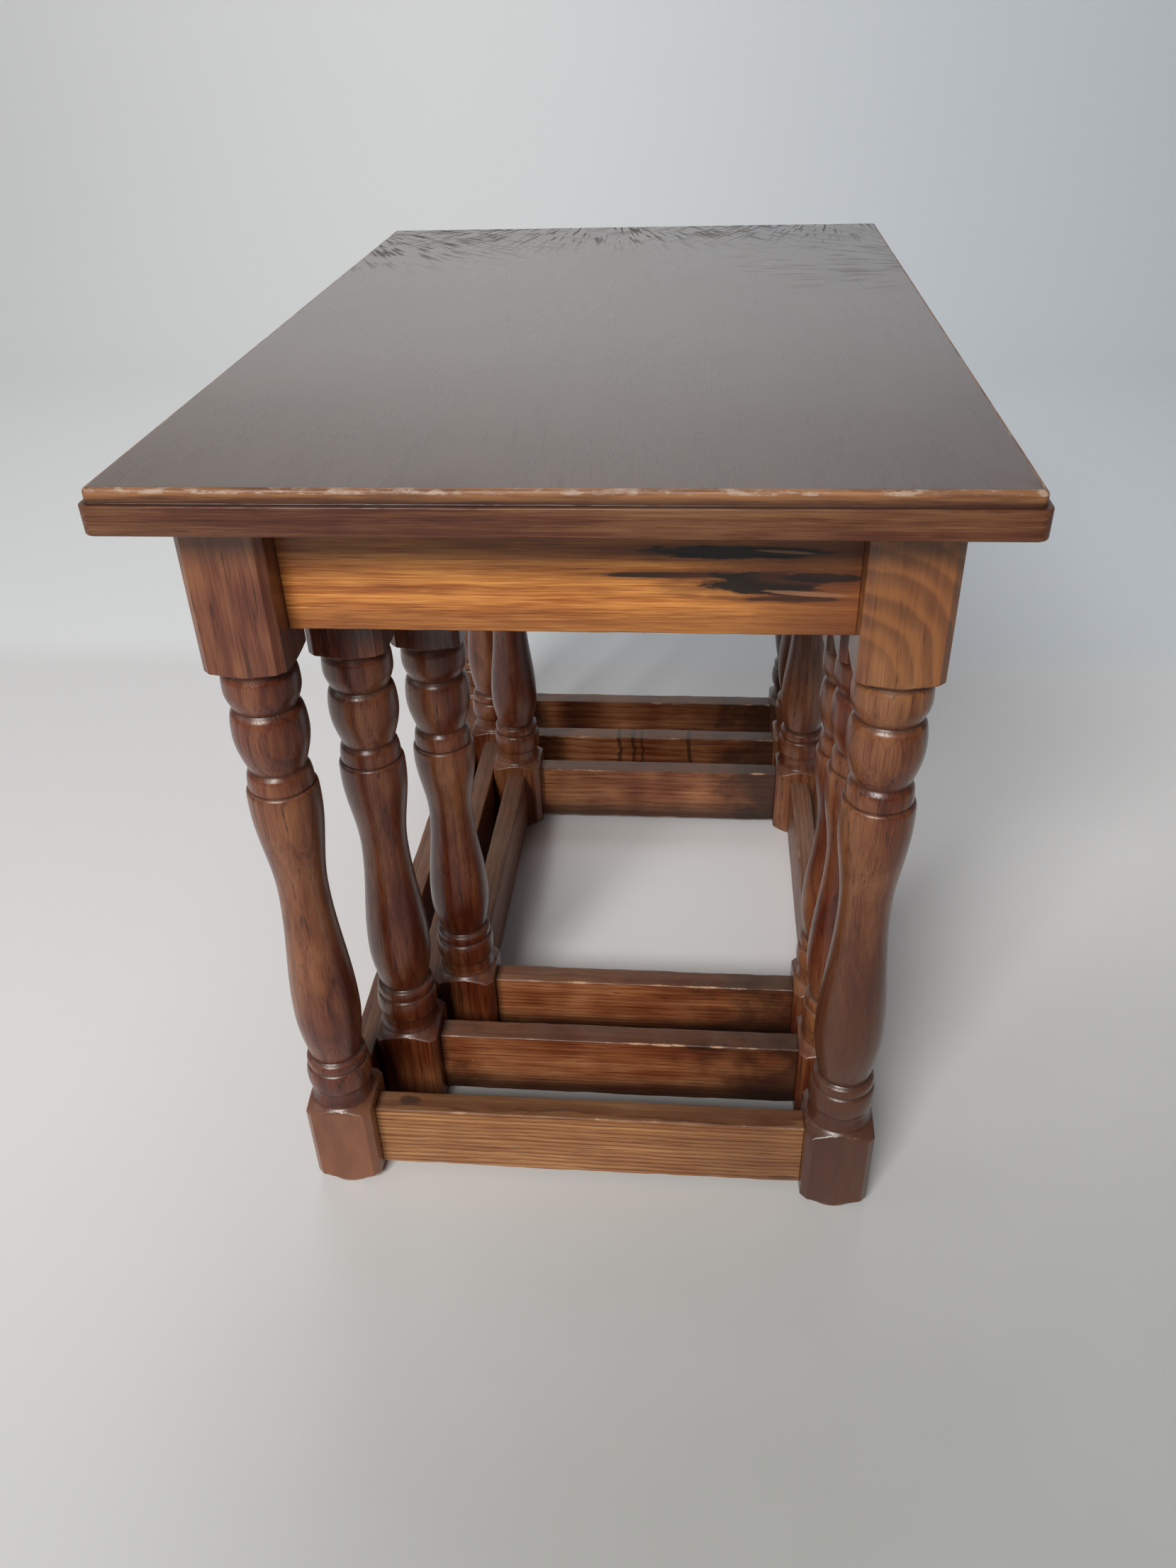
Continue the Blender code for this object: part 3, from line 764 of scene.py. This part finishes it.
def striped(f, colour, height, rough):
    """Four narrow dark stripes that cross the board, besides the knots and the painted shade at the
    ends and lower edge.
    """
    colour, height, rough, _ = knots_and_painted_shade(f, colour, height, rough)
    y = f.parts(f.position())[1] + (f.noise(f.position(), (9, 9, 60), 2) - 0.5) * 0.010
    for middle, half in ((0.007, 0.0020), (-0.006, 0.0018), (-0.014, 0.0012), (-0.058, 0.0020)):
        stripe = ((y - middle) / half).squared().ramp(1.6, 0.2)
        colour = f.blend(stripe * 0.75, colour, (0.030, 0.011, 0.006))
    return colour, height, rough, None


def upper_band(f, colour, height, rough):
    """The narrow upper band of the edge, rubbed lighter and drier than the band below."""
    upper = f.mark("upper")
    streak = f.noise(f.position(), (25, 25, 500), 3, 0.6).ramp(0.35, 0.65, 0.25, 1.0)
    colour = f.blend(upper * streak * 0.85, colour, (0.33, 0.145, 0.056))
    return colour, height, rough + 0.08 * upper, None


def steel():
    """Dull zinc over steel, with fine marks and a little bloom."""
    f = Finish("screw_zinc")
    grain = f.noise(f.position(), (900, 900, 4000), 3, 0.6)
    bloom = f.noise(f.position(), (160, 160, 160), 3, 0.6)
    colour = f.tones(bloom, [(0.3, (0.30, 0.29, 0.27)), (0.7, (0.50, 0.48, 0.44))])
    bump = f.add("ShaderNodeBump", {}, {"Strength": 0.3, "Distance": 0.0001, "Height": grain})
    f.set(Base_Color=colour, Metallic=1.0, Roughness=0.32 + 0.3 * bloom, Normal=bump)
    return f.material


# ---------------------------------------------------------------- the three tables

EDGE = stain((0.112, 0.036, 0.013), (0.42, 0.31, 0.24))
RED = stain((0.152, 0.042, 0.014), (0.36, 0.15, 0.07))
AMBER = stain((0.165, 0.052, 0.017), (0.36, 0.16, 0.07))
GOLDEN = stain((0.370, 0.166, 0.058), (0.60, 0.36, 0.19))
WARM = stain((0.310, 0.112, 0.043), (0.60, 0.34, 0.18))
BROWN = stain((0.210, 0.074, 0.030), (0.42, 0.22, 0.12))

top_face = wood(
    "top_veneer", "X", stain((0.086, 0.044, 0.030), (0.42, 0.31, 0.24)), (0.33, 0.25), 0.006,
    lines=0.05, fibre=0.16, mottle=0.35, pores=0.06, flash=0.1, gloss=0.27, wear=0.8, dust=0.08,
    coat=0.9, extra=fanned,
)
EDGE_LOOKS = dict(
    lines=0.15, fibre=0.7, mottle=0.6, wear=0.8, rub_from=0.58, dust=0.08, extra=upper_band
)
edge_ends = wood("top_end_lipping", "Y", EDGE, (0.2, 0.3), 0.004, **EDGE_LOOKS)
edge_sides = wood("top_side_lipping", "X", EDGE, (0.2, 0.3), 0.004, **EDGE_LOOKS)
LEG_LOOKS = dict(
    lines=0.30, fibre=0.45, mottle=1.20, pores=0.85, gloss=0.30, wear=0.45, rub_from=0.46,
    coat=0.3, fine=180, wander=0.016,
)
red_leg = wood("leg_red_brown", "Z", RED, (0.30, 0.14), 0.0062, dust=0.26, **LEG_LOOKS)
russet_leg = wood(
    "leg_russet", "Z", RED, (0.26, 0.12), 0.0062, dust=0.26, extra=lighter_foot, **LEG_LOOKS
)
amber_leg = wood(
    "leg_amber", "Z", AMBER, (-0.235, 0.12), 0.0060, dust=0.18, extra=ringed_block, **LEG_LOOKS
)
knotty_apron = wood(
    "apron_knotty", "Y", stain((0.480, 0.172, 0.036), (0.52, 0.25, 0.10)), (0.10, 0.30), 0.0060,
    lines=0.14, fibre=0.75, mottle=0.32, pores=0.35, gloss=0.40, wear=0.3, dust=0.2, fine=260,
    extra=knots,
)
RAIL_LOOKS = dict(lines=0.45, fibre=0.6, mottle=0.5, gloss=0.42, wear=0.3, dust=0.3)
dark_rail_x = wood("rail_brown", "X", RED, (0.10, 0.30), 0.0045, **RAIL_LOOKS)
dark_rail_y = wood("apron_brown", "Y", RED, (0.10, 0.30), 0.0045, **RAIL_LOOKS)
golden_oak = wood(
    "stretcher_golden", "Y", GOLDEN, (0.24, 0.16), 0.0036, lines=0.75, fibre=0.45, mottle=0.35,
    pores=0.45, gloss=0.46, wear=0.6, rub_from=0.52, dust=0.12, wander=0.010, extra=small_knots,
)
WARM_LOOKS = dict(
    lines=0.42, fibre=0.55, mottle=0.75, pores=0.8, flash=0.7, gloss=0.36, wear=0.9,
    rub_from=0.46, dust=0.34,
)
warm_oak = wood(
    "stretcher_warm", "Y", WARM, (0.20, 0.30), 0.0032, extra=knots_and_painted_shade, **WARM_LOOKS
)
striped_oak = wood(
    "stretcher_striped", "Y", WARM, (0.22, 0.28), 0.0034, extra=striped, **WARM_LOOKS
)
back_oak = wood(
    "stretcher_brown", "X", BROWN, (0.24, 0.30), 0.0034, lines=0.4, fibre=0.55, mottle=0.6,
    pores=0.6, gloss=0.42, wear=0.7, rub_from=0.46, dust=0.5,
)
zinc = steel()


def rail_finish(node):
    """The wood of a rail or stretcher, from the way it runs and which table it is on."""
    table, kind, side = node.split("_")[:3]
    if kind == "stretcher":
        if side not in ("left", "right"):
            return back_oak
        ends = {("large", "left"): golden_oak, ("middle", "right"): striped_oak}
        return ends.get((table, side), warm_oak)
    if side in ("left", "right"):
        return knotty_apron if (table, side) == ("large", "left") else dark_rail_y
    return dark_rail_x


for seed, node in enumerate(NODES):
    words = node.split("_")
    if "screw" in words:
        stands_for(screw(node), node, "screw_steel", zinc)
    elif words[1] == "top":
        stands_for(table_top(node), node, "top_wood", top_face, edge_ends, edge_sides)
    elif words[1] == "leg":
        low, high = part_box(node)
        middle = (low + high) / 2
        special = {"large_leg_front": amber_leg, "large_leg_back": russet_leg}
        finish = special.get("_".join(words[:3]), red_leg)
        stands_for(leg(node, middle.x, middle.y, high.z), node, "leg_wood", finish)
    else:
        arris = 0.0013 if words[1] == "stretcher" else 0.0009
        piece = board(node, arris, 20 + 4 * seed)
        if f"{node}_screw_1" in NODES:
            drilled(piece, node)
        slot = "stretcher_wood" if words[1] == "stretcher" else "apron_wood"
        stands_for(piece, node, slot, rail_finish(node))


# ---------------------------------------------------------------- floor, light and camera

def sweep(name, width, near, far, bend, height):
    """A floor that turns up into a backdrop: a straight run, a quarter circle and a straight
    rise along X, the same all along Y."""
    quarter = np.linspace(0, pi / 2, 24)
    x = np.concatenate([[near], far + bend * np.sin(quarter), [far + bend]])
    z = np.concatenate([[0.0], bend * (1 - np.cos(quarter)), [height]])
    y = np.linspace(-width / 2, width / 2, 12)
    grid_x, grid_y = np.meshgrid(x, y, indexing="ij")
    points = np.stack([grid_x, grid_y, np.repeat(z[:, None], len(y), axis=1)], axis=-1)
    i = np.arange(len(x) - 1)[:, None] * len(y)
    j = np.arange(len(y) - 1)[None, :]
    quads = np.stack([i + j, i + len(y) + j, i + len(y) + j + 1, i + j + 1], axis=-1)
    mesh = bpy.data.meshes.new(name)
    mesh.from_pydata(points.reshape(-1, 3).tolist(), [], quads.reshape(-1, 4).tolist())
    mesh.polygons.foreach_set("use_smooth", np.ones(len(mesh.polygons), bool))
    mesh.update()
    made = bpy.data.objects.new(name, mesh)
    bpy.context.scene.collection.objects.link(made)
    return made


def paper():
    """Pale painted floor, slightly clouded, with painted shade that greys its near end and -Y side
    and painted light on its +Y side; it runs into a cool white wall with painted shade towards -Y."""
    f = Finish("pale_floor")
    cloud = f.noise(f.position(), (3, 3, 3), 4, 0.6)
    x, y, _ = f.parts(f.position())
    # Painted shade greys the floor at the near end and towards -Y; painted light brightens it
    # towards +Y and further in.
    near = f.tones(cloud, [(0.3, (0.475, 0.480, 0.462)), (0.7, (0.515, 0.520, 0.502))])
    near = f.blend(y.ramp(0.0, 0.30), near, (0.62, 0.625, 0.61))
    light = (x + y * 0.35 + cloud * 0.10).ramp(-0.55, 0.10)
    near = f.blend(light, near, (0.82, 0.81, 0.81))
    # Painted shade on the wall: darker and cooler towards -Y.
    wall = f.blend(y.ramp(-0.7, 0.7), (0.76, 0.80, 0.84), (0.90, 0.91, 0.91))
    colour = f.blend(x.ramp(0.40, 0.50), near, wall)
    f.set(Base_Color=colour, Roughness=0.62, IOR=1.4)
    return f.material


def soft_box(name, azimuth, elevation, distance, size, power, colour, aim=(0.0, 0.0, 0.25)):
    """A rectangle of light aimed at a place. Azimuth turns from -X towards +Y."""
    turn, rise = radians(azimuth), radians(elevation)
    back = Vector((-np.cos(rise) * np.cos(turn), np.cos(rise) * np.sin(turn), np.sin(rise)))
    light = bpy.data.lights.new(name, "AREA")
    light.shape, light.size, light.size_y = "RECTANGLE", *size
    light.energy, light.color = power, colour
    lamp = bpy.data.objects.new(name, light)
    bpy.context.scene.collection.objects.link(lamp)
    lamp.location = Vector(aim) + back * distance
    lamp.rotation_euler = (-back).to_track_quat("-Z", "Y").to_euler()


floor = sweep("floor", width=9.0, near=-3.2, far=1.65, bend=0.9, height=4.0)
floor.data.materials.append(paper())

soft_box("key", 15, 36, 3.2, (1.3, 0.80), 89, (1.0, 0.985, 0.96))
soft_box("ceiling", 172, 60, 3.0, (1.8, 1.8), 17, (0.97, 0.985, 1.0))
soft_box("side", 80, 30, 3.4, (1.6, 1.0), 7, (1.0, 1.0, 1.0))
soft_box("backdrop", 0, 35, 1.4, (2.4, 0.6), 3.0, (1.0, 1.0, 1.0), aim=(2.4, 0.2, 0.9))

world = bpy.data.worlds.new("studio")
bpy.context.scene.world = world
world.use_nodes = True
world.node_tree.nodes["Background"].inputs["Color"].default_value = (0.90, 0.95, 1.0, 1.0)
world.node_tree.nodes["Background"].inputs["Strength"].default_value = 0.075
bpy.context.scene.view_settings.view_transform = "Standard"

CAMERA_PLACE = np.array((-0.7787, -0.0608, 0.6524))
CAMERA_YAW, CAMERA_PITCH, CAMERA_ROLL = radians(5.90), radians(33.77), radians(-1.92)
CAMERA_LENS = 27.65


def camera():
    """Looks along +X, yawed towards +Y, pitched down and rolled, in that order."""
    yaw, pitch, roll = CAMERA_YAW, CAMERA_PITCH, CAMERA_ROLL
    ahead = np.array((np.cos(pitch) * np.cos(yaw), np.cos(pitch) * np.sin(yaw), -np.sin(pitch)))
    level = np.array((np.sin(yaw), -np.cos(yaw), 0.0))
    above = np.cross(level, ahead)
    right = np.cos(roll) * level + np.sin(roll) * above
    up = -np.sin(roll) * level + np.cos(roll) * above
    view = np.eye(4)
    view[:3, 0], view[:3, 1], view[:3, 2], view[:3, 3] = right, up, -ahead, CAMERA_PLACE
    data = bpy.data.cameras.new("camera")
    data.lens, data.sensor_width = CAMERA_LENS, 36.0
    made = bpy.data.objects.new("camera", data)
    bpy.context.scene.collection.objects.link(made)
    made.matrix_world = Matrix(view.tolist())
    bpy.context.scene.camera = made


camera()
